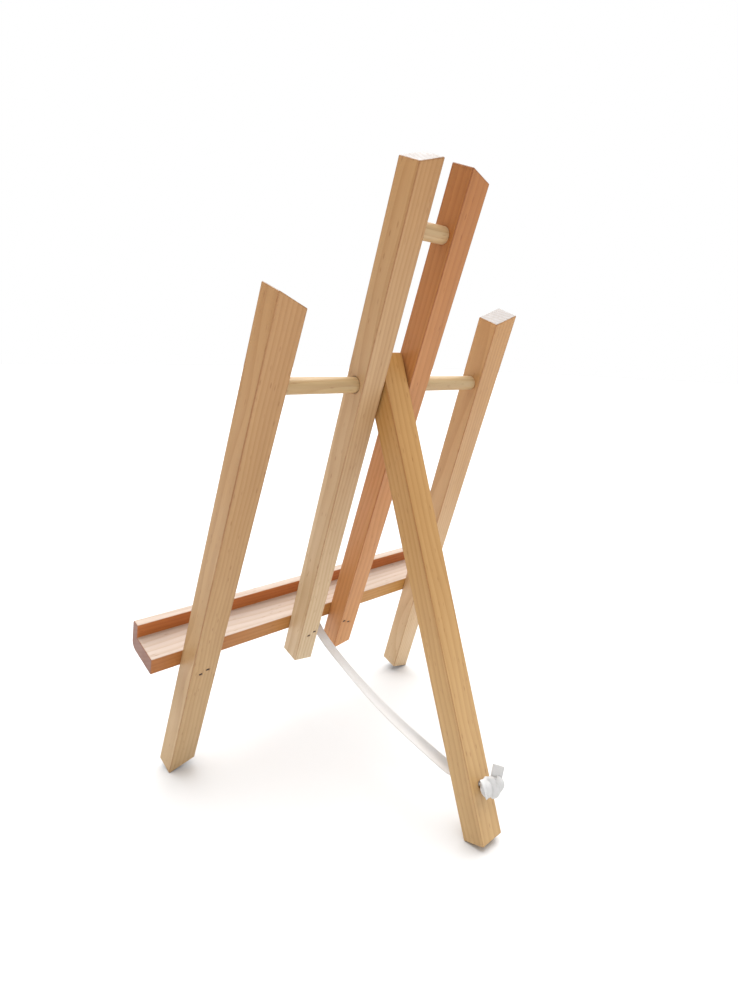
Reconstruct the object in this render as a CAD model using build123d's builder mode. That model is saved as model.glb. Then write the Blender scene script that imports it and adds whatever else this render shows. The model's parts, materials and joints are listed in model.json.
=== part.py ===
"""A small table-top artist's easel in beech, in millimetres.

Four uprights stand in one plane that leans back: two splayed outer legs reach the table and two
taller inner uprights hang between them. A long dowel joins all four and is the pin of the hinge
on which the rear leg folds. A rebated tray is pinned across the fronts, and a flat tape from the
tray to the rear leg sets how far the leg opens.

+Z is up, the front, where the picture stands, faces -Y, and the origin is on the table under the
middle of the easel.
"""
import os
from math import cos, radians, sin, tan

from build123d import *

os.makedirs("parts", exist_ok=True)

# ---- driving dimensions ------------------------------------------------------------------------
# "Down" and "up" are measured from the hinge along the frame or along the rear leg, and "out" is
# measured forwards from the back faces of the uprights.

FRAME_LEAN = 19.4          # the uprights lean back from the vertical, degrees
REAR_LEG_LEAN = 20.1       # the rear leg leans forward from the vertical when open, degrees
EDGE_EASING = 0.6          # radius sanded on the edges of the wood

UPRIGHT_DEPTH = 13.6

OUTER_WIDTH = 16.0
OUTER_LEG_X = 76.5         # centre line of an outer leg at the height of the hinge
OUTER_SPLAY = 4.7          # degrees
OUTER_TOP_UP = 43.0        # outer corner, the higher one
OUTER_TOP_DROP = 6.2       # how much lower the other corner is
OUTER_FOOT_DOWN = 250.1    # outer corner, the lower one
OUTER_FOOT_RISE = 5.7      # how much higher the other corner is

INNER_WIDTH = 14.0
INNER_GAP = 19.0           # clear gap between the inner uprights
INNER_TOP_UP = 103.6       # inner corner, the higher one
INNER_TOP_DROP = 4.3
INNER_FOOT_DOWN = 190.6    # inner corner, the lower one
INNER_FOOT_RISE = 2.8

DOWEL_RADIUS = 4.0
DOWEL_END_EASING = 0.5
TOP_DOWEL_UP = 73.9
SOCKET_DEPTH = 8.0         # how deep a dowel sits in an upright
SOCKET_END_GAP = 0.6       # air past the end of a dowel
SOCKET_LEAD = 2.0          # the drill starts this far outside a splayed face
INNER_HOLE_SLACK = 0.3     # radial room round the long dowel in the inner uprights
HINGE_CLEARANCE = 0.08     # radial running clearance in the rear leg

REAR_LEG_WIDTH = 16.2
REAR_LEG_DEPTH = 13.8
REAR_LEG_TOP_UP = 14.8

TRAY_LENGTH = 231.0
TRAY_TOP_DOWN = 159.2      # upper face of the shelf
SHELF_THICKNESS = 11.2
SHELF_DEPTH = 19.5
LIP_THICKNESS = 5.9
LIP_HEIGHT = 9.0           # above the shelf
TRAY_NOSE_RADIUS = 5.0     # rounded lower front corner
LIP_TOP_RADIUS = 2.0       # rounded upper front corner
REBATE_COVE_RADIUS = 0.5   # between the shelf and the lip

BRAD_DOWN = 167.0
BRAD_PITCH = 4.2           # across the upright
BRAD_STAGGER = 1.0         # each brad above or below the pair's middle, the inner one higher
INNER_BRAD_SHIFT = 1.8     # pairs in the inner uprights sit this far towards the middle
BRAD_HEAD = (2.1, 1.2)
BRAD_SHANK = (1.3, 1.0)
BRAD_HEAD_THICKNESS = 0.6
BRAD_LENGTH = 20.0
BRAD_SINK = 0.35           # heads are punched just under the surface

TAPE_WIDTH = 6.8
TAPE_THICKNESS = 1.0
TAPE_HOLE_DOWN = 218.9
TAPE_HOLE_RADIUS = 2.2

STAPLE_OUT = 26.0
STAPLE_WIRE_RADIUS = 0.4
STAPLE_SPAN = 8.6          # between the centres of its two legs
STAPLE_BEND_RADIUS = 0.8
STAPLE_BITE = 7.0          # depth of its legs in the tray

KNOT_WIDTH = 8.6
KNOT_HEIGHT = 12.6
KNOT_DEPTH = 8.0
KNOT_ROUNDING = 3.2
NECK_CLEARANCE = 0.1       # radial, round the gathered tape in its hole
TAIL_WIDTH = 5.6
TAIL_THICKNESS = 1.2
TAIL_SIDE = -3.6           # the tail lies against this side of the knot
TAIL_LENGTH = 11.0         # from the middle of the knot to the cut end
TAIL_LEAN = 14.0           # away from the leg, degrees

# ---- heights and planes that follow from them --------------------------------------------------

FOOT_EASING_LOSS = 0.42    # sanding takes this much off the corner that an outer leg stands on
REAR_EASING_LOSS = 0.1     # and this much off the edge that the rear leg stands on
HINGE_Y = -1.63            # puts the middle of the easel over the origin
HINGE_OUT = UPRIGHT_DEPTH / 2

lean = radians(FRAME_LEAN)
rear_lean = radians(REAR_LEG_LEAN)
frame_origin_height = OUTER_FOOT_DOWN * cos(lean) - FOOT_EASING_LOSS
hinge_height = frame_origin_height + HINGE_OUT * sin(lean)
rear_foot_down = (
    hinge_height + REAR_EASING_LOSS - REAR_LEG_DEPTH / 2 * sin(rear_lean)
) / cos(rear_lean)

# In the uprights' back faces: x is +X, y runs up the frame and z out of its front.
FRAME = Plane(
    origin=(0, HINGE_Y + HINGE_OUT * cos(lean), frame_origin_height),
    x_dir=(1, 0, 0),
    z_dir=(0, -cos(lean), sin(lean)),
)
# Through the middle of the rear leg: y runs up the leg and z out of its front face.
REAR = Plane(
    origin=(0, HINGE_Y, hinge_height),
    x_dir=(1, 0, 0),
    z_dir=(0, -cos(rear_lean), -sin(rear_lean)),
)


def across(x, up):
    """A plane that faces +X, at x, on the axis of a dowel at that height up the frame."""
    axis_point = FRAME.from_local_coords((x, up, HINGE_OUT))
    return Plane(origin=axis_point, x_dir=(0, 1, 0), z_dir=(1, 0, 0))


# ---- fasteners ---------------------------------------------------------------------------------

INNER_X = (INNER_GAP + INNER_WIDTH) / 2
brad_pairs_x = (OUTER_LEG_X + BRAD_DOWN * tan(radians(OUTER_SPLAY)), INNER_X - INNER_BRAD_SHIFT)
brad_spots = [
    (side * (x + end * BRAD_PITCH / 2), -BRAD_DOWN - end * BRAD_STAGGER)
    for side in (-1, 1)
    for x in brad_pairs_x
    for end in (-1, 1)
]

with BuildPart() as tray_brads:
    with BuildSketch(FRAME.offset(BRAD_SINK)):
        with Locations(*brad_spots):
            Rectangle(*BRAD_HEAD)
    extrude(amount=BRAD_HEAD_THICKNESS)
    with BuildSketch(FRAME.offset(BRAD_SINK + BRAD_HEAD_THICKNESS)):
        with Locations(*brad_spots):
            Rectangle(*BRAD_SHANK)
    extrude(amount=BRAD_LENGTH - BRAD_HEAD_THICKNESS)

# The underside of the tray, and the line on which a staple's crown presses the tape to it.
tray_bottom_down = TRAY_TOP_DOWN + SHELF_THICKNESS
crown_down = tray_bottom_down + TAPE_THICKNESS + STAPLE_WIRE_RADIUS
staple_top_down = tray_bottom_down - STAPLE_BITE

with BuildPart() as tape_staple:
    with BuildLine(FRAME.offset(STAPLE_OUT)) as staple_line:
        FilletPolyline(
            (-STAPLE_SPAN / 2, -staple_top_down),
            (-STAPLE_SPAN / 2, -crown_down),
            (STAPLE_SPAN / 2, -crown_down),
            (STAPLE_SPAN / 2, -staple_top_down),
            radius=STAPLE_BEND_RADIUS,
        )
    with BuildSketch(Plane(origin=staple_line.line @ 0, z_dir=staple_line.line % 0)):
        Circle(STAPLE_WIRE_RADIUS)
    sweep()

# ---- uprights ----------------------------------------------------------------------------------


def upright(side, centre_x, width, splay, long_side, top, top_drop, foot, foot_rise):
    """One upright with its brad holes. side is -1 or +1 along X.

    long_side is 1 where the outer edge is the longer one and -1 where the inner edge is.
    """
    half_width = width / 2 / cos(radians(splay))

    def corner(edge, up):
        return (side * (centre_x - up * tan(radians(splay)) + edge * half_width), up)

    with BuildPart() as blank:
        with BuildSketch(FRAME):
            Polygon(
                corner(long_side, top),
                corner(-long_side, top - top_drop),
                corner(-long_side, foot + foot_rise),
                corner(long_side, foot),
                align=None,
            )
        extrude(amount=UPRIGHT_DEPTH)
        fillet(blank.edges(), EDGE_EASING)
        # Slots that the brads' heads leave above them in the back face.
        with BuildSketch(FRAME):
            with Locations(*brad_spots):
                Rectangle(*BRAD_HEAD)
        extrude(amount=BRAD_SINK, mode=Mode.SUBTRACT)
        add(tray_brads.part, mode=Mode.SUBTRACT)
    return blank.part


def outer_leg(side):
    blank = upright(
        side, OUTER_LEG_X, OUTER_WIDTH, OUTER_SPLAY, 1,
        OUTER_TOP_UP, OUTER_TOP_DROP, -OUTER_FOOT_DOWN, OUTER_FOOT_RISE,
    )
    inner_face_x = OUTER_LEG_X - OUTER_WIDTH / 2
    with BuildPart() as leg:
        add(blank)
        with BuildSketch(across(side * (inner_face_x - SOCKET_LEAD), 0)):
            Circle(DOWEL_RADIUS)
        extrude(amount=side * (SOCKET_LEAD + SOCKET_DEPTH + SOCKET_END_GAP), mode=Mode.SUBTRACT)
    return leg.part


def inner_upright(side):
    blank = upright(
        side, INNER_X, INNER_WIDTH, 0, -1,
        INNER_TOP_UP, INNER_TOP_DROP, -INNER_FOOT_DOWN, INNER_FOOT_RISE,
    )
    with BuildPart() as post:
        add(blank)
        with BuildSketch(across(side * INNER_X, 0)):
            Circle(DOWEL_RADIUS + INNER_HOLE_SLACK)
        extrude(amount=INNER_WIDTH, both=True, mode=Mode.SUBTRACT)
        with BuildSketch(across(side * INNER_GAP / 2, TOP_DOWEL_UP)):
            Circle(DOWEL_RADIUS)
        extrude(amount=side * (SOCKET_DEPTH + SOCKET_END_GAP), mode=Mode.SUBTRACT)
    return post.part


outer_leg_left = outer_leg(-1)
outer_leg_right = outer_leg(1)
inner_upright_left = inner_upright(-1)
inner_upright_right = inner_upright(1)

# ---- dowels ------------------------------------------------------------------------------------

hinge_dowel_half = OUTER_LEG_X - OUTER_WIDTH / 2 + SOCKET_DEPTH
with BuildPart() as hinge_dowel:
    with BuildSketch(across(-hinge_dowel_half, 0)):
        Circle(DOWEL_RADIUS)
    extrude(amount=2 * hinge_dowel_half)
    chamfer(hinge_dowel.edges().filter_by(GeomType.CIRCLE), DOWEL_END_EASING)

top_dowel_half = INNER_GAP / 2 + SOCKET_DEPTH
with BuildPart() as top_dowel:
    with BuildSketch(across(-top_dowel_half, TOP_DOWEL_UP)):
        Circle(DOWEL_RADIUS)
    extrude(amount=2 * top_dowel_half)
    chamfer(top_dowel.edges().filter_by(GeomType.CIRCLE), DOWEL_END_EASING)

# ---- tray --------------------------------------------------------------------------------------
# The section is drawn looking along X: its x runs out of the frame's front and its y up the frame.

TRAY_END = Plane(
    origin=FRAME.from_local_coords((-TRAY_LENGTH / 2, -TRAY_TOP_DOWN, UPRIGHT_DEPTH)),
    x_dir=FRAME.z_dir,
    z_dir=(-1, 0, 0),
)
tray_depth = SHELF_DEPTH + LIP_THICKNESS
round_corners = [
    ((SHELF_DEPTH, 0), REBATE_COVE_RADIUS),
    ((tray_depth, LIP_HEIGHT), LIP_TOP_RADIUS),
    ((tray_depth, -SHELF_THICKNESS), TRAY_NOSE_RADIUS),
]

with BuildPart() as tray:
    with BuildSketch(TRAY_END) as tray_section:
        Polygon(
            (0, 0),
            (SHELF_DEPTH, 0),
            (SHELF_DEPTH, LIP_HEIGHT),
            (tray_depth, LIP_HEIGHT),
            (tray_depth, -SHELF_THICKNESS),
            (0, -SHELF_THICKNESS),
            align=None,
        )
        # The section's own vertices are in its plane's coordinates, as the corners are.
        for corner, radius in round_corners:
            fillet(tray_section.vertices().sort_by_distance(corner)[0], radius)
    extrude(amount=-TRAY_LENGTH)
    # The two long edges beside each round corner are already smooth.
    long_edges = tray.edges().filter_by(Axis.X)
    smooth_edges = ShapeList(
        edge
        for corner, radius in round_corners
        for edge in long_edges.sort_by_distance(TRAY_END.from_local_coords(corner))[:2]
    )
    fillet(tray.edges() - smooth_edges, EDGE_EASING)
    add(tray_brads.part, mode=Mode.SUBTRACT)
    add(tape_staple.part, mode=Mode.SUBTRACT)

# ---- rear leg ----------------------------------------------------------------------------------

with BuildPart() as rear_leg:
    with BuildSketch(REAR.offset(-REAR_LEG_DEPTH / 2)):
        with Locations((0, (REAR_LEG_TOP_UP - rear_foot_down) / 2)):
            Rectangle(REAR_LEG_WIDTH, REAR_LEG_TOP_UP + rear_foot_down)
    extrude(amount=REAR_LEG_DEPTH)
    fillet(rear_leg.edges(), EDGE_EASING)
    with BuildSketch(across(0, 0)):
        Circle(DOWEL_RADIUS + HINGE_CLEARANCE)
    extrude(amount=REAR_LEG_WIDTH, both=True, mode=Mode.SUBTRACT)
    with BuildSketch(REAR):
        with Locations((0, -TAPE_HOLE_DOWN)):
            Circle(TAPE_HOLE_RADIUS)
    extrude(amount=REAR_LEG_DEPTH, both=True, mode=Mode.SUBTRACT)

# ---- tape and knot -----------------------------------------------------------------------------
# The tape's middle line lies in the plane of symmetry. Its points are given in the frame's own
# directions, (up, out), and the last is the front mouth of the hole in the rear leg.

tape_under_tray = -(tray_bottom_down + TAPE_THICKNESS / 2)
TAPE_ROUTE = [
    (tape_under_tray, 31.0),
    (tape_under_tray, 20.5),
    (-179.4, 3.0),
    (-182.2, -31.0),
    (-182.4, -64.0),
    (-177.9, -100.0),
]
CORNER_SHARE = 0.45        # share of the shorter run that each bend takes

route = [FRAME.from_local_coords((0, up, out)) for up, out in TAPE_ROUTE]
LEG_FRONT = REAR.offset(REAR_LEG_DEPTH / 2)
route.append(LEG_FRONT.from_local_coords((0, -TAPE_HOLE_DOWN, 0)))
runs = [end - start for start, end in zip(route, route[1:])]
radii = [
    CORNER_SHARE * min(before.length, after.length) / tan(radians(before.get_angle(after) / 2))
    for before, after in zip(runs, runs[1:])
]
print("tape runs  ", [round(run.length, 1) for run in runs])
print("tape radii ", [round(radius, 1) for radius in radii])

with BuildPart() as tape:
    with BuildLine() as tape_line:
        FilletPolyline(*route, radius=radii)
    with BuildSketch(Plane(origin=route[0], x_dir=(1, 0, 0), z_dir=runs[0])):
        Rectangle(TAPE_WIDTH, TAPE_THICKNESS)
    sweep()
    split(bisect_by=LEG_FRONT, keep=Keep.TOP)

tape_length = tape_line.wires()[0].length
print("tape length", round(tape_length, 1), "volume", round(tape.part.volume, 1),
      "section x length", round(TAPE_WIDTH * TAPE_THICKNESS * tape_length, 1))

# The knot bears on the rear leg's back face, and its neck is the tape gathered in the hole.
KNOT_FACE = REAR.offset(-REAR_LEG_DEPTH / 2)
TAIL_PLANE = Plane(
    origin=KNOT_FACE.from_local_coords((TAIL_SIDE, -TAPE_HOLE_DOWN, -KNOT_DEPTH)),
    x_dir=-REAR.z_dir,
    z_dir=(1, 0, 0),
)

with BuildPart() as tape_knot:
    with BuildSketch(KNOT_FACE):
        with Locations((0, -TAPE_HOLE_DOWN)):
            Rectangle(KNOT_WIDTH, KNOT_HEIGHT)
    extrude(amount=-KNOT_DEPTH)
    bearing_face = tape_knot.faces().sort_by(Axis(KNOT_FACE.origin, KNOT_FACE.z_dir))[-1]
    fillet(tape_knot.edges() - bearing_face.edges(), KNOT_ROUNDING)
    with BuildSketch(KNOT_FACE):
        with Locations((0, -TAPE_HOLE_DOWN)):
            Circle(TAPE_HOLE_RADIUS - NECK_CLEARANCE)
    extrude(amount=REAR_LEG_DEPTH)
    with BuildSketch(TAIL_PLANE):
        with Locations(Location((0, 0, 0), (0, 0, 1), -TAIL_LEAN)):
            Rectangle(TAIL_WIDTH, TAIL_LENGTH, align=(Align.CENTER, Align.MIN))
    extrude(amount=-TAIL_THICKNESS)

nodes = {
    "outer_leg_left": outer_leg_left,
    "outer_leg_right": outer_leg_right,
    "inner_upright_left": inner_upright_left,
    "inner_upright_right": inner_upright_right,
    "hinge_dowel": hinge_dowel.part,
    "top_dowel": top_dowel.part,
    "tray": tray.part,
    "tray_brads": tray_brads.part,
    "tape_staple": tape_staple.part,
    "rear_leg": rear_leg.part,
    "tape": tape.part,
    "tape_knot": tape_knot.part,
}
for name, shape in nodes.items():
    shape.label = name
    export_step(shape, f"parts/{name}.step")

box = Compound([shape for name, shape in nodes.items() if not name.startswith("tape")]).bounding_box()
print("easel box", [round(v, 2) for v in (*box.min, *box.max)])
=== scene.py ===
"""A small table-top artist's easel in beech, dressed over its CAD frame, in metres.

The wood keeps its CAD solids and gets a solid beech texture whose grain runs along each member.
The tape that holds the rear leg, and the knot behind the leg, are modelled here as woven cotton.
"""

import json
from math import cos, pi, radians, sin

import bpy
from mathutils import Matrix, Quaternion, Vector


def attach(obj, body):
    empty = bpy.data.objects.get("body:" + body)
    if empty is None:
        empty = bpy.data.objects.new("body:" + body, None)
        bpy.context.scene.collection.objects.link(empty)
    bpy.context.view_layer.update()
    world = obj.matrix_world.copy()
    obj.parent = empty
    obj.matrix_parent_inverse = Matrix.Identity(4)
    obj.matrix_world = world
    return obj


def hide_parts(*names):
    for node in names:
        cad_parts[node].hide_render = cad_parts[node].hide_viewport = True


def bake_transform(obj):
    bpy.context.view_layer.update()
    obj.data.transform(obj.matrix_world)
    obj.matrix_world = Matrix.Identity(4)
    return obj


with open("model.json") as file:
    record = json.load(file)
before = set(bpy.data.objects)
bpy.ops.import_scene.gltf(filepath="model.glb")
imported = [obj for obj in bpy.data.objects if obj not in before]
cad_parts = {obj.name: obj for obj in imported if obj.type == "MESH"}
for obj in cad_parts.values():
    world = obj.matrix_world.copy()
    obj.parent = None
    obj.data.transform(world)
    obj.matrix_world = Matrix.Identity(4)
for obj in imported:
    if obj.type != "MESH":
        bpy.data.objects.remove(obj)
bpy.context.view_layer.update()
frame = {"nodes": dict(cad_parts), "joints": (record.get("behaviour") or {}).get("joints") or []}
nodes = frame["nodes"]

# ---- the easel's own directions ----------------------------------------------------------------
# Up runs from the hinge along the front frame or the rear leg, and out is square to it, towards the
# front. Out is measured from the uprights' back faces, and on the rear leg from its middle.

FRAME_LEAN = radians(19.4)
REAR_LEG_LEAN = radians(20.1)
OUTER_SPLAY = radians(4.7)
UPRIGHT_DEPTH = 0.0136
REAR_LEG_DEPTH = 0.0138

hinge = Vector(frame["joints"][0]["pos_m"])
ALONG_X = Vector((1, 0, 0))
FRAME_UP = Vector((0, sin(FRAME_LEAN), cos(FRAME_LEAN)))
FRAME_OUT = Vector((0, -cos(FRAME_LEAN), sin(FRAME_LEAN)))
REAR_UP = Vector((0, -sin(REAR_LEG_LEAN), cos(REAR_LEG_LEAN)))
REAR_OUT = Vector((0, -cos(REAR_LEG_LEAN), -sin(REAR_LEG_LEAN)))
SPLAYED_RIGHT = FRAME_UP * cos(OUTER_SPLAY) - ALONG_X * sin(OUTER_SPLAY)
SPLAYED_LEFT = FRAME_UP * cos(OUTER_SPLAY) + ALONG_X * sin(OUTER_SPLAY)


def frame_point(up, out):
    return hinge + FRAME_UP * up + FRAME_OUT * (out - UPRIGHT_DEPTH / 2)


def rear_point(up, out):
    return hinge + REAR_UP * up + REAR_OUT * out


# ---- shader trees and objects ------------------------------------------------------------------


class Tree:
    """Adds nodes to a tree: sockets in inputs are linked and other values are set."""

    def __init__(self, tree):
        self.tree = tree

    def add(self, kind, inputs=None, **settings):
        node = self.tree.nodes.new(kind)
        for key, value in settings.items():
            setattr(node, key, value)
        for socket, value in (inputs or {}).items():
            if isinstance(value, bpy.types.NodeSocket):
                self.tree.links.new(value, node.inputs[socket])
            else:
                node.inputs[socket].default_value = value
        return node

    def math(self, operation, *values):
        return self.add("ShaderNodeMath", dict(enumerate(values)), operation=operation).outputs[0]

    def vector(self, operation, *values, output=0):
        node = self.add("ShaderNodeVectorMath", dict(enumerate(values)), operation=operation)
        return node.outputs[output]

    def dot(self, a, b):
        return self.vector("DOT_PRODUCT", a, b, output="Value")

    def noise(self, vector, scale, detail=2.0, roughness=0.5):
        """Noise over vector, which is stretched by a scale per axis, in cycles per metre."""
        stretched = self.vector("MULTIPLY", vector, scale)
        inputs = {"Vector": stretched, "Scale": 1.0, "Detail": detail, "Roughness": roughness}
        return self.add("ShaderNodeTexNoise", inputs).outputs["Fac"]

    def ramp(self, value, low, high, to_low=0.0, to_high=1.0):
        inputs = {"Value": value, "From Min": low, "From Max": high, "To Min": to_low, "To Max": to_high}
        return self.add("ShaderNodeMapRange", inputs, clamp=True).outputs[0]

    def mix(self, factor, a, b, blend="MIX"):
        inputs = {0: factor, 6: a, 7: b}
        return self.add("ShaderNodeMix", inputs, data_type="RGBA", blend_type=blend).outputs[2]

    def tinted(self, factor, colour, tint):
        """The colour, multiplied by the tint as far as factor says."""
        return self.mix(factor, colour, self.mix(1.0, colour, tint, "MULTIPLY"))


def new_material(name):
    material = bpy.data.materials.new(name)
    material.use_nodes = True
    material.node_tree.nodes.clear()
    return material, Tree(material.node_tree)


def finish_material(tree, shader):
    output = tree.add("ShaderNodeOutputMaterial")
    tree.tree.links.new(shader.outputs[0], output.inputs["Surface"])


def dress(node, material):
    slots = nodes[node].data.materials
    slots.clear()
    slots.append(material)


def add_object(name, data):
    made = bpy.data.objects.new(name, data)
    bpy.context.scene.collection.objects.link(made)
    return made


# ---- beech -------------------------------------------------------------------------------------

FROM_PITH = Vector((0.031, 0.017, 0.23))      # where the blank with seed 0 lies in the log
PER_SEED = Vector((0.13, 0.29, 0.71))         # and how far on each next one lies
RING_WIDTH = 0.0024
RING_WANDER = 0.012
FLECK_DEPTH = 0.0009       # along the ray, away from the pith
FLECK_WIDTH = 0.0005
FLECK_LENGTH = 0.0032
RING_STRENGTH = 0.5
FLECK_STRENGTH = 0.6
BEECH_ROUGHNESS = 0.45
GRAIN_RELIEF = 0.00009
DARK_EDGE_WIDTH = 0.0021

PALE_SWING = (1.12, 1.16, 1.22, 1)
DARK_SWING = (0.88, 0.83, 0.75, 1)
RING_TINT = (0.78, 0.66, 0.52, 1)
FLECK_TINT = (0.62, 0.45, 0.32, 1)
FIBRE_TINT = (0.45, 0.32, 0.22, 1)
DARK_EDGE_TINT = (0.58, 0.38, 0.24, 1)


def beech_figure(t, wood):
    """The markings at a place in the log: tone, ring, fleck and fibre, each from 0 to 1."""
    # Slow drift and finer streaks of tone, long along the grain.
    drift = t.ramp(t.noise(wood, (28, 28, 5), 3.0), 0.3, 0.7)
    streak = t.ramp(t.noise(wood, (210, 210, 9), 3.0, 0.6), 0.3, 0.72)
    tone = t.math("ADD", t.math("MULTIPLY", drift, 0.62), t.math("MULTIPLY", streak, 0.38))

    # Year rings about a pith that lies outside the blank.
    bent = t.noise(wood, (18, 18, 6), 2.0)
    wander = t.math("MULTIPLY", t.math("SUBTRACT", bent, 0.5), RING_WANDER)
    flat = t.vector("MULTIPLY", wood, (1, 1, 0.012))
    distance = t.math("ADD", t.vector("LENGTH", flat, output="Value"), wander)
    phase = t.math("FRACT", t.math("DIVIDE", distance, RING_WIDTH))
    ring = t.math("MULTIPLY", t.ramp(phase, 0.35, 0.93), t.ramp(phase, 0.93, 1.0, 1.0, 0.0))

    # Ray flecks: thin sheets that run out from the pith, so they're dashes on the flat faces.
    scatter = t.vector("DIVIDE", wood, (FLECK_DEPTH, FLECK_WIDTH, FLECK_LENGTH))
    cell = t.add("ShaderNodeTexVoronoi", {"Vector": scatter, "Scale": 0.5, "Randomness": 1.0})
    kept = t.ramp(cell.outputs["Color"], 0.62, 0.8)
    fleck = t.math("MULTIPLY", t.ramp(cell.outputs["Distance"], 0.12, 0.3, 1.0, 0.0), kept)

    # Fine pores and fibres.
    fibre = t.noise(wood, (2600, 2600, 110), 2.0, 0.6)
    return tone, ring, fleck, fibre


def darkened_edges(t, grain, out):
    """1 along the edges, where the rounded normal is square to none of the piece's own faces."""
    rounded = t.add("ShaderNodeBevel", {"Radius": DARK_EDGE_WIDTH}, samples=8).outputs[0]
    own_normal = t.add(
        "ShaderNodeVectorTransform", {"Vector": rounded},
        vector_type="NORMAL", convert_from="WORLD", convert_to="OBJECT",
    ).outputs[0]
    axes = (grain, out, Vector(grain).cross(out))
    squareness = [t.math("ABSOLUTE", t.dot(own_normal, axis)) for axis in axes]
    squarest = t.math("MAXIMUM", t.math("MAXIMUM", squareness[0], squareness[1]), squareness[2])
    return t.ramp(squarest, 0.74, 0.93, 1.0, 0.0)


def beech(
    node, grain, out, near, far, seed, turn, ends=None, upper=None, recess=None, edge_darkness=1.0,
):
    """Beech for a CAD node, with its grain along the given direction and out square to a face.

    The tone goes from near, where the grain starts, to far. On the uprights and legs near is the foot, and
    its lighter tone there is partly painted light thrown up from the floor. ends is the tone of the sawn
    ends, and upper that of faces that look up, a painted highlight. recess is the tone of painted shade on
    a face turned back towards the frame, and how far out that face is. seed picks the blank, turn rolls it
    about the grain in radians, and edge_darkness is how dark its edges are.
    """
    material, t = new_material("beech_" + node)
    place = t.add("ShaderNodeTexCoord")
    normal = place.outputs["Normal"]
    reach = [vertex.co.dot(grain) for vertex in nodes[node].data.vertices]
    share = t.ramp(t.dot(place.outputs["Object"], grain), min(reach), max(reach))
    along_z = Vector(grain).rotation_difference(Vector((0, 0, 1)))
    rolled = Quaternion((0, 0, 1), turn) @ along_z
    wood = t.add(
        "ShaderNodeMapping",
        {
            "Vector": place.outputs["Object"],
            "Rotation": rolled.to_euler(),
            "Location": FROM_PITH + PER_SEED * seed,
        },
    ).outputs[0]
    tone, ring, fleck, fibre = beech_figure(t, wood)

    # From near to far along the grain; on the uprights and legs the lighter foot is partly painted light
    # from the floor.
    colour = t.mix(share, (*near, 1), (*far, 1))
    # Faces that look up get the upper tone: a painted highlight, paler where the overhead light washes
    # them out.
    if upper:
        colour = t.mix(t.ramp(t.dot(normal, FRAME_UP), 0.6, 0.9), colour, (*upper, 1))
    # A face turned back towards the frame, out beyond face_out, gets the recess tone: painted shade.
    if recess:
        recess_shade_tone, face_out = recess
        beyond = t.ramp(t.dot(place.outputs["Object"], out), face_out - 0.003, face_out - 0.001)
        turned_back = t.ramp(t.dot(normal, -out), 0.6, 0.9)
        colour = t.mix(t.math("MULTIPLY", turned_back, beyond), colour, (*recess_shade_tone, 1))
    # The sawn ends get their own tone; the pale grey one on the uprights and outer legs is a painted
    # highlight on their tops.
    if ends:
        end = t.ramp(t.math("ABSOLUTE", t.dot(normal, grain)), 0.6, 0.9)
        colour = t.mix(end, colour, (*ends, 1))
    colour = t.mix(1.0, colour, t.mix(tone, PALE_SWING, DARK_SWING), "MULTIPLY")
    colour = t.tinted(t.math("MULTIPLY", ring, RING_STRENGTH), colour, RING_TINT)
    colour = t.tinted(t.math("MULTIPLY", fleck, FLECK_STRENGTH), colour, FLECK_TINT)
    colour = t.tinted(t.ramp(fibre, 0.3, 0.7, 0.10, 0.0), colour, FIBRE_TINT)

    # Edges are darker along the corners, and a little less rough.
    edge_mask = darkened_edges(t, grain, out)
    patchy = t.ramp(t.noise(wood, (60, 60, 22), 3.0), 0.3, 0.62, 0.4, 1.0)
    edge_darkening = t.math("MULTIPLY", t.math("MULTIPLY", edge_mask, patchy), edge_darkness)
    colour = t.tinted(edge_darkening, colour, DARK_EDGE_TINT)

    patches = t.noise(wood, (75, 75, 30), 3.0)
    rough = t.ramp(patches, 0.3, 0.7, BEECH_ROUGHNESS - 0.05, BEECH_ROUGHNESS + 0.07)
    rough = t.math("ADD", rough, t.math("MULTIPLY", fibre, 0.06))
    rough = t.math("SUBTRACT", rough, t.math("MULTIPLY", edge_mask, 0.08))

    height = t.math("ADD", t.math("MULTIPLY", fibre, 0.6), t.math("MULTIPLY", ring, 0.25))
    height = t.math("SUBTRACT", height, t.math("MULTIPLY", fleck, 0.35))
    bump = t.add("ShaderNodeBump", {"Height": height, "Strength": 0.35, "Distance": GRAIN_RELIEF})
    shader = t.add(
        "ShaderNodeBsdfPrincipled",
        {"Base Color": colour, "Roughness": rough, "Normal": bump.outputs[0], "IOR": 1.5},
    )
    finish_material(t, shader)
    dress(node, material)


# Painted highlight: the tops of the uprights and outer legs face the overhead light, so their ends are
# painted pale grey.
PALE_ENDS_PAINTED_HIGHLIGHT = (0.37, 0.34, 0.325)
# The inner face of the tray's lip is painted dark orange: painted shade, where the shelf and the lip
# hide it from the light and light each other.
LIP_OUT = frame_point(0, UPRIGHT_DEPTH + 0.0195).dot(FRAME_OUT)
LIP_PAINTED_SHADE = (0.46, 0.14, 0.028)

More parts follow.
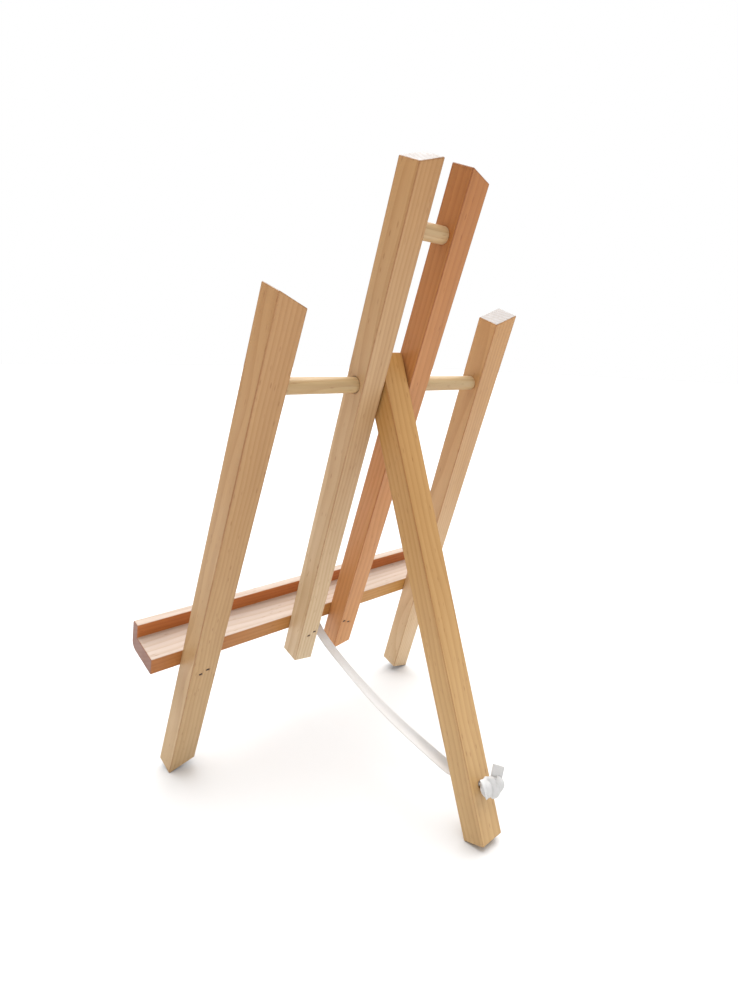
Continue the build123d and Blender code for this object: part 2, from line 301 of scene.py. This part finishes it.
beech(
    "outer_leg_right", SPLAYED_RIGHT, FRAME_OUT,
    near=(0.535, 0.36, 0.18), far=(0.47, 0.25, 0.097), seed=1, turn=0.5, ends=PALE_ENDS_PAINTED_HIGHLIGHT,
)
beech(
    "inner_upright_right", FRAME_UP, FRAME_OUT,
    near=(0.67, 0.515, 0.325), far=(0.46, 0.24, 0.087), seed=2, turn=1.3, ends=PALE_ENDS_PAINTED_HIGHLIGHT,
)
beech(
    "inner_upright_left", FRAME_UP, FRAME_OUT,
    near=(0.645, 0.315, 0.12), far=(0.435, 0.167, 0.04), seed=3, turn=0.2, ends=PALE_ENDS_PAINTED_HIGHLIGHT,
)
beech(
    "outer_leg_left", SPLAYED_LEFT, FRAME_OUT,
    near=(0.685, 0.495, 0.29), far=(0.525, 0.275, 0.10), seed=4, turn=0.9, ends=PALE_ENDS_PAINTED_HIGHLIGHT,
)
beech(
    "rear_leg", REAR_UP, REAR_OUT,
    near=(0.56, 0.36, 0.16), far=(0.54, 0.29, 0.09), seed=5, turn=0.35,
)
# The tray's upper tone is a painted highlight on its top, and its recess tone is painted shade on the lip.
beech(
    "tray", ALONG_X, FRAME_OUT,
    near=(0.61, 0.34, 0.095), far=(0.44, 0.16, 0.036), seed=6, turn=0.8,
    ends=(0.25, 0.105, 0.065), upper=(0.49, 0.39, 0.32), recess=(LIP_PAINTED_SHADE, LIP_OUT), edge_darkness=0.4,
)
beech(
    "hinge_dowel", ALONG_X, FRAME_OUT,
    near=(0.56, 0.42, 0.24), far=(0.52, 0.36, 0.18), seed=7, turn=0.4, edge_darkness=0.0,
)
beech(
    "top_dowel", ALONG_X, FRAME_OUT,
    near=(0.52, 0.36, 0.19), far=(0.52, 0.36, 0.19), seed=8, turn=1.1, edge_darkness=0.0,
)

# ---- steel -------------------------------------------------------------------------------------

STEEL_STAIN = (0.10, 0.06, 0.035, 1)


def wire_steel(node, colour, roughness):
    material, t = new_material("steel_" + node)
    place = t.add("ShaderNodeTexCoord").outputs["Object"]
    drawn = t.noise(place, (900, 900, 5000), 3.0)
    stain = t.ramp(t.noise(place, (700, 700, 700), 2.0), 0.45, 0.7)
    tint = t.mix(t.math("MULTIPLY", stain, 0.5), (*colour, 1), STEEL_STAIN)
    bump = t.add("ShaderNodeBump", {"Height": drawn, "Strength": 0.3, "Distance": 0.00002})
    rough = t.ramp(drawn, 0.3, 0.7, roughness - 0.08, roughness + 0.08)
    shader = t.add(
        "ShaderNodeBsdfPrincipled",
        {"Base Color": tint, "Metallic": 1.0, "Roughness": rough, "Normal": bump.outputs[0]},
    )
    finish_material(t, shader)
    dress(node, material)


wire_steel("tray_brads", (0.10, 0.085, 0.075), 0.5)
wire_steel("tape_staple", (0.55, 0.54, 0.52), 0.32)

# ---- woven cotton ------------------------------------------------------------------------------

COTTON_TONE = (0.69, 0.685, 0.68)
WARP_PITCH = 9000.0        # radians per metre across the tape
WEFT_PITCH = 7000.0        # and along it
SELVEDGE = (0.0024, 0.0032)    # from the middle, where the darker edge starts and is full
RIBBON_COLUMNS = 12


def cotton(name, tone):
    """Plain-woven cotton tape: its UV map is across and along it in metres."""

    def shaded(red, green, blue):
        return (tone[0] * red, tone[1] * green, tone[2] * blue, 1)

    material, t = new_material(name)
    place = t.add("ShaderNodeUVMap", uv_map="weave").outputs[0]
    solid = t.add("ShaderNodeTexCoord").outputs["Object"]
    axes = t.add("ShaderNodeSeparateXYZ", {"Vector": place})
    warp = t.math("SINE", t.math("MULTIPLY", axes.outputs["X"], WARP_PITCH))
    weft = t.math("SINE", t.math("MULTIPLY", axes.outputs["Y"], WEFT_PITCH))
    weave = t.math("MULTIPLY", warp, weft)
    slub = t.ramp(t.noise(solid, (900, 900, 900), 3.0), 0.3, 0.7)
    soil = t.ramp(t.noise(solid, (90, 90, 90), 3.0), 0.35, 0.7)
    # The woven edges are tighter, so they are a little darker.
    selvedge = t.ramp(t.math("ABSOLUTE", axes.outputs["X"]), *SELVEDGE)
    colour = t.mix(t.math("MULTIPLY", slub, 0.35), (*tone, 1), shaded(0.9, 0.89, 0.88))
    colour = t.mix(t.math("MULTIPLY", soil, 0.3), colour, shaded(0.92, 0.9, 0.86))
    colour = t.mix(t.math("MULTIPLY", selvedge, 0.35), colour, shaded(0.86, 0.86, 0.86))
    colour = t.mix(t.ramp(weave, -0.4, 1.0, 0.0, 0.12), colour, shaded(0.7, 0.7, 0.7))
    height = t.math("ADD", t.math("MULTIPLY", weave, 0.5), t.math("MULTIPLY", slub, 0.5))
    bump = t.add("ShaderNodeBump", {"Height": height, "Strength": 0.4, "Distance": 0.00008})
    rough = t.ramp(slub, 0.0, 1.0, 0.82, 0.95)
    shader = t.add(
        "ShaderNodeBsdfPrincipled",
        {
            "Base Color": colour, "Roughness": rough, "Normal": bump.outputs[0],
            "Sheen Weight": 0.15, "Sheen Roughness": 0.5,
        },
    )
    finish_material(t, shader)
    return material


def nurbs_points(name, points):
    """The line of an open NURBS spline with these control points."""
    curve = bpy.data.curves.new(name, "CURVE")
    curve.dimensions = "3D"
    curve.resolution_u = 16
    spline = curve.splines.new("NURBS")
    spline.points.add(len(points) - 1)
    for slot, point in zip(spline.points, points):
        slot.co = (*point, 1)
    spline.order_u = 3
    spline.use_endpoint_u = True
    line = add_object(name, curve)
    bpy.context.view_layer.update()
    mesh = bpy.data.meshes.new_from_object(line)
    found = [vertex.co.copy() for vertex in mesh.vertices]
    bpy.data.objects.remove(line)
    bpy.data.meshes.remove(mesh)
    return found


def distances(points):
    """How far along the line each point is."""
    gone = [0.0]
    for start, end in zip(points, points[1:]):
        gone.append(gone[-1] + (end - start).length)
    return gone


def eased(value, start, end):
    """0 up to start and 1 from end on, with a smooth change between them."""
    x = min(max((value - start) / (end - start), 0.0), 1.0)
    return x * x * (3 - 2 * x)


def ribbon(name, points, side, width, thickness, twist, cup):
    """A flat woven ribbon along points.

    side is the direction across it at the start. width, twist in radians and cup are functions of
    the share of the length. The ribbon's own coordinates, across and along in metres, go to a UV map.
    """
    vertices, faces, places = [], [], []
    gone = distances(points)
    ring = 2 * (RIBBON_COLUMNS + 1)
    for i, point in enumerate(points):
        share = gone[i] / gone[-1]
        ahead = points[min(i + 1, len(points) - 1)] - points[max(i - 1, 0)]
        ahead.normalize()
        flat = side - ahead * side.dot(ahead)
        flat.normalize()
        flat.rotate(Quaternion(ahead, twist(share)))
        out = ahead.cross(flat)
        wide = width(share)
        bow = cup(share) * wide
        for face in (1, -1):
            for column in range(RIBBON_COLUMNS + 1):
                aside = (column / RIBBON_COLUMNS - 0.5) * face
                # The edges are rounded down to 15% of the thickness.
                rounding = (1 - (2 * abs(aside)) ** 6) * 0.85 + 0.15
                lift = bow * (1 - 4 * aside * aside) + face * thickness / 2 * rounding
                vertices.append(point + flat * (aside * wide) + out * lift)
                places.append((aside * wide, gone[i]))
        if i:
            base, last = i * ring, (i - 1) * ring
            for corner in range(ring):
                after = (corner + 1) % ring
                faces.append((last + corner, base + corner, base + after, last + after))
    faces.append(tuple(range(ring)))
    faces.append(tuple(reversed(range(len(vertices) - ring, len(vertices)))))
    mesh = bpy.data.meshes.new(name)
    mesh.from_pydata(vertices, [], faces)
    layer = mesh.uv_layers.new(name="weave")
    for loop in mesh.loops:
        layer.data[loop.index].uv = places[loop.vertex_index]
    for polygon in mesh.polygons:
        polygon.use_smooth = len(polygon.vertices) == 4
    mesh.materials.append(tape_cotton)
    return add_object(name, mesh)


tape_cotton = cotton("tape_cotton", COTTON_TONE)

# ---- the tape ----------------------------------------------------------------------------------

TAPE_WIDTH = 0.0068
TAPE_THICKNESS = 0.0007
TAPE_HOLE_DOWN = 0.2189
TAPE_CUP = 0.16            # how far the middle bows, as a share of the width
TAPE_FOLD = 0.34           # the same where it gathers towards the hole
TAPE_TWIST = 0.55          # in radians, by the time it reaches the leg
TAPE_GATHER = 0.42         # how much narrower it is at the hole

# The tape's middle line, from under the tray to the hole in the rear leg, in the plane of symmetry.
tape_route = [
    frame_point(-0.1709, 0.0310),
    frame_point(-0.1709, 0.0205),
    frame_point(-0.1794, 0.0030),
    frame_point(-0.1822, -0.0310),
    frame_point(-0.1824, -0.0640),
    frame_point(-0.1779, -0.1000),
    rear_point(-TAPE_HOLE_DOWN, REAR_LEG_DEPTH / 2),
]


def tape_width(share):
    return TAPE_WIDTH * (1 - TAPE_GATHER * eased(share, 0.93, 1.0))


def tape_twist(share):
    return TAPE_TWIST * eased(share, 0.35, 0.95)


def tape_cup(share):
    return TAPE_CUP * eased(share, 0.12, 0.4) + (TAPE_FOLD - TAPE_CUP) * eased(share, 0.6, 1.0)


tape_points = nurbs_points("tape_line", tape_route)
tape = ribbon("tape_woven", tape_points, ALONG_X, tape_width, TAPE_THICKNESS, tape_twist, tape_cup)

# ---- the knot ----------------------------------------------------------------------------------
# The end is brought round itself, pulled down hard on the leg, and left as a flat tail. The knot's
# own sizes and places are in millimetres. Places are given from the hole's back mouth: across to
# +X, up the leg and off its back face.

FLARE = REAR_OUT * -0.91 - ALONG_X * 0.415    # across the tail
CORE_ROWS, CORE_COLUMNS = 14, 24
CORE_HALF_WIDTH = 4.0
CORE_HALF_HEIGHT = 5.2
CORE_HALF_DEPTH = 3.036
CORE_OFF = 3.404           # its middle, off the leg, before the gap
CORE_GAP = 0.35
CORE_DROP = 1.7            # of its middle, below the hole's


def knot_point(across, up, off):
    on_leg = rear_point(up / 1000 - TAPE_HOLE_DOWN, -REAR_LEG_DEPTH / 2 - off / 1000)
    return on_leg + Vector((across / 1000, 0, 0))


def core_point(row, column):
    """A place on the heart of the knot: a creased egg with a single point at each pole."""
    polar = pi * row / CORE_ROWS
    turn = 2 * pi * column / CORE_COLUMNS
    crease = 1 + sin(polar) * (0.07 * sin(3 * turn + 2.2 * polar) + 0.05 * cos(5 * polar + turn))
    across = CORE_HALF_WIDTH * sin(polar) * cos(turn) * crease
    up = CORE_HALF_HEIGHT * cos(polar) - CORE_DROP
    off = CORE_GAP + (CORE_OFF + CORE_HALF_DEPTH * sin(polar) * sin(turn)) * crease
    return knot_point(across, up, off)


def knot_heart():
    """The heart of the knot, under its turns."""
    vertices = [core_point(0, 0)]
    for row in range(1, CORE_ROWS):
        vertices += [core_point(row, column) for column in range(CORE_COLUMNS)]
    vertices.append(core_point(CORE_ROWS, 0))
    faces = []
    last_ring = 1 + (CORE_ROWS - 2) * CORE_COLUMNS
    for column in range(CORE_COLUMNS):
        after = (column + 1) % CORE_COLUMNS
        faces.append((0, 1 + column, 1 + after))
        faces.append((last_ring + after, last_ring + column, len(vertices) - 1))
        for row in range(CORE_ROWS - 2):
            upper, lower = 1 + row * CORE_COLUMNS, 1 + (row + 1) * CORE_COLUMNS
            faces.append((upper + column, lower + column, lower + after, upper + after))
    mesh = bpy.data.meshes.new("knot_core")
    mesh.from_pydata(vertices, [], faces)
    layer = mesh.uv_layers.new(name="weave")
    for loop in mesh.loops:
        at = vertices[loop.vertex_index]
        layer.data[loop.index].uv = (at.x * 0.5, (at - hinge).dot(REAR_UP))
    for polygon in mesh.polygons:
        polygon.use_smooth = True
    mesh.materials.append(tape_cotton)
    return add_object("knot_heart", mesh)


def knot_strand(name, places, side, width, thickness=1.1, cup=0.12, cut=False):
    """A length of the tape in the knot. Its ends are gathered inside the knot unless it is cut."""

    def strand_width(share):
        gathered = eased(share, 0, 0.3) * (1 if cut else 1 - eased(share, 0.7, 1))
        return width / 1000 * (0.25 + 0.75 * gathered)

    points = nurbs_points(name + "_line", [knot_point(*place) for place in places])
    return ribbon(
        name, points, side, strand_width, thickness / 1000, twist=lambda share: 0.0, cup=lambda share: cup,
    )


knot = knot_heart()
strands = [
    # Over the top of the knot, down its near side and under it to the leg.
    knot_strand(
        "knot_over",
        [
            (0, 1.6, 2.6), (0.8, 4.6, 2.8), (1.5, 3.4, 5.6),
            (1.6, -2.4, 6.1), (0.6, -7.4, 4.9), (0, -5.0, 2.6),
        ],
        ALONG_X, 6.6, cup=0.14,
    ),
    # The turn beneath it on the far side, which comes out below the tail.
    knot_strand(
        "knot_turn",
        [
            (-0.4, 1.4, 3.0), (-1.6, 3.2, 5.0), (-2.5, 0.6, 7.4),
            (-2.2, -3.6, 7.2), (-1.2, -6.6, 4.8), (-0.2, -4.4, 3.0),
        ],
        FLARE, 5.8, cup=0.14,
    ),
    # The lobe that the tail springs from.
    knot_strand(
        "knot_lobe",
        [
            (-2.2, 0.4, 6.0), (-3.4, 2.2, 8.6), (-3.8, 0.6, 9.7),
            (-3.3, -2.0, 7.9), (-2.2, -4.0, 5.4), (-0.8, -3.6, 3.6),
        ],
        FLARE, 6.2, thickness=0.9, cup=0.10,
    ),
    # The tail, flat and upright on the far side, and cut square.
    knot_strand(
        "knot_tail",
        [(-2.6, -2.2, 5.8), (-3.8, 0.6, 7.1), (-4.3, 4.6, 8.6), (-4.6, 7.6, 9.9), (-4.8, 10.3, 11.0)],
        FLARE, 6.1, thickness=0.9, cup=0.05, cut=True,
    ),
    # The tape gathered in the hole.
    knot_strand(
        "knot_neck",
        [(0, 0, -13.7), (0.1, 0.1, -9.0), (0, 0, -4.0), (-0.4, -0.2, 2.4)],
        ALONG_X, 3.0, thickness=1.7, cup=0.2,
    ),
]
for strand in strands:
    strand.parent = knot
    strand.matrix_parent_inverse = knot.matrix_world.inverted()

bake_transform(tape)
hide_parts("tape")
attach(knot, "rear_leg_body")
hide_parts("tape_knot")

# ---- floor, light and camera -------------------------------------------------------------------

FLOOR_HALF = 8.0
FLOOR_TONE = 0.72
WALL_LIGHT = 0.35
CEILING_LIGHT = 1.0
OVERHEAD_STRENGTH = 3.9
OVERHEAD_SPREAD = radians(80)
OVERHEAD_AIM = Vector((0.25, 0.2, -1))
CAMERA_AT = Vector((0.2243, 0.2323, 0.2533))
CAMERA_HEADING = radians(43.31)    # from -Y towards -X
CAMERA_DIP = radians(17.54)
CAMERA_ROLL = radians(1.65)
CAMERA_LENS = 21.35                # in mm, on a sensor 36 mm wide
CAMERA_SHIFT = (-0.0092, 0.0406)

floor_corners = [(x * FLOOR_HALF, y * FLOOR_HALF, 0) for x, y in ((-1, -1), (1, -1), (1, 1), (-1, 1))]
floor_mesh = bpy.data.meshes.new("floor")
floor_mesh.from_pydata(floor_corners, [], [(0, 1, 2, 3)])
floor = add_object("floor", floor_mesh)
floor_material, t = new_material("floor_white")
floor_colour = (FLOOR_TONE, FLOOR_TONE, FLOOR_TONE, 1)
finish_material(t, t.add("ShaderNodeBsdfPrincipled", {"Base Color": floor_colour, "Roughness": 0.9}))
floor_mesh.materials.append(floor_material)

# White to look at, but the walls light the easel less than the ceiling does.
world = bpy.data.worlds.new("studio")
bpy.context.scene.world = world
world.use_nodes = True
world.node_tree.nodes.clear()
t = Tree(world.node_tree)
direction = t.add("ShaderNodeTexCoord").outputs["Generated"]
height = t.add("ShaderNodeSeparateXYZ", {"Vector": direction}).outputs["Z"]
room_strength = t.ramp(height, 0.0, 1.0, WALL_LIGHT, CEILING_LIGHT)
room = t.add("ShaderNodeBackground", {"Color": (1, 1, 1, 1), "Strength": room_strength})
backdrop = t.add("ShaderNodeBackground", {"Color": (1, 1, 1, 1), "Strength": 1.0})
seen = t.add("ShaderNodeLightPath").outputs["Is Camera Ray"]
both = t.add("ShaderNodeMixShader", {0: seen, 1: room.outputs[0], 2: backdrop.outputs[0]})
t.tree.links.new(both.outputs[0], t.add("ShaderNodeOutputWorld").inputs["Surface"])

overhead = bpy.data.lights.new("overhead", "SUN")
overhead.energy = OVERHEAD_STRENGTH
overhead.angle = OVERHEAD_SPREAD
lamp = add_object("overhead", overhead)
lamp.rotation_euler = OVERHEAD_AIM.to_track_quat("-Z", "Y").to_euler()

camera_data = bpy.data.cameras.new("camera")
camera_data.sensor_width = 36
camera_data.lens = CAMERA_LENS
camera_data.shift_x, camera_data.shift_y = CAMERA_SHIFT
camera_data.clip_start = 0.01
camera = add_object("camera", camera_data)
bpy.context.scene.camera = camera
gaze = Vector(
    (-sin(CAMERA_HEADING) * cos(CAMERA_DIP), -cos(CAMERA_HEADING) * cos(CAMERA_DIP), -sin(CAMERA_DIP))
)
camera.location = CAMERA_AT
camera.rotation_mode = "QUATERNION"
camera.rotation_quaternion = gaze.to_track_quat("-Z", "Y") @ Quaternion((0, 0, 1), CAMERA_ROLL)

bpy.context.scene.view_settings.view_transform = "Standard"
